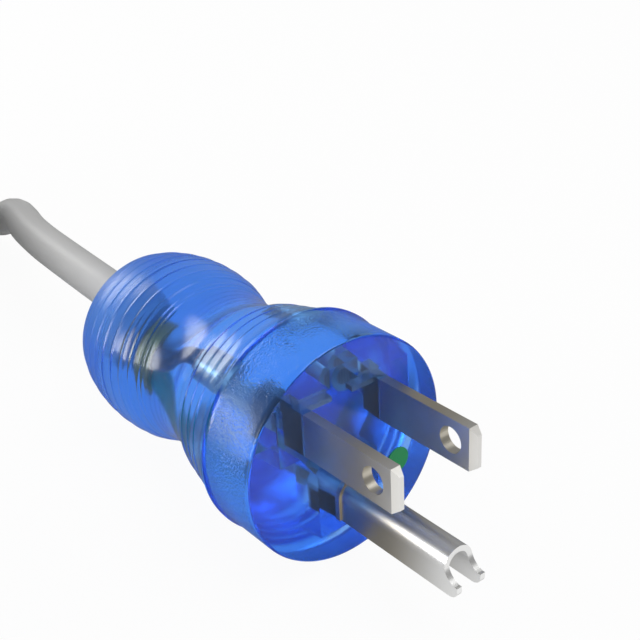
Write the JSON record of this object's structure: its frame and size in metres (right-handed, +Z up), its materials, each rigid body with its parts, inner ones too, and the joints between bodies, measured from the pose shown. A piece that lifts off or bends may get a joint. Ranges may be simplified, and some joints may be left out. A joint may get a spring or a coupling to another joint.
{
  "type": "type b plug",
  "caption": "Grounded flat-blade mains plug with a ribbed transparent moulded body, on a coiled power cord with an appliance connector.",
  "frame": {"origin": "on the surface that the plug lies on, below the middle of the plug's own box", "axes": "+Y from the blades towards the cord, level; +Z up, with the ground pin below; +X to the right of someone who looks at the face"},
  "size_m": [0.0998, 0.1978, 0.0331],
  "materials": {
    "blue_vinyl": "clear blue moulded vinyl, glossy, partly frosted",
    "clear_insert": "clear moulded, pale edges",
    "nickel_plate": "nickel plated brass, satin with bright edges",
    "clamp_brass": "plain brass, dull",
    "green_mark": "opaque green, glossy",
    "black_insulation": "satin",
    "white_insulation": "satin",
    "green_insulation": "satin",
    "bare_copper": "bare stranded copper",
    "grey_jacket": "light grey vinyl, satin",
    "black_strap": "woven hook and loop",
    "grey_moulding": "light grey vinyl, satin",
    "grey_block": "light grey, satin",
    "plated_contact": "plated, bright"
  },
  "bodies": {
    "root": {"plug_body": "blue_vinyl", "contact_bridge": "clear_insert", "line_blade": "nickel_plate", "neutral_blade": "nickel_plate", "ground_pin": "nickel_plate", "cord_clamp": "clamp_brass", "green_dot": "green_mark", "line_wire": "black_insulation", "neutral_wire": "white_insulation", "ground_wire": "green_insulation", "line_strands": "bare_copper", "neutral_strands": "bare_copper", "ground_strands": "bare_copper", "cord_lead": "grey_jacket", "cord_coil": "grey_jacket", "cord_tail": "grey_jacket", "coil_tie": "black_strap", "connector_body": "grey_moulding", "connector_insert": "grey_block", "connector_line_contact": "plated_contact", "connector_neutral_contact": "plated_contact", "connector_ground_contact": "plated_contact"}
  },
  "joints": []
}
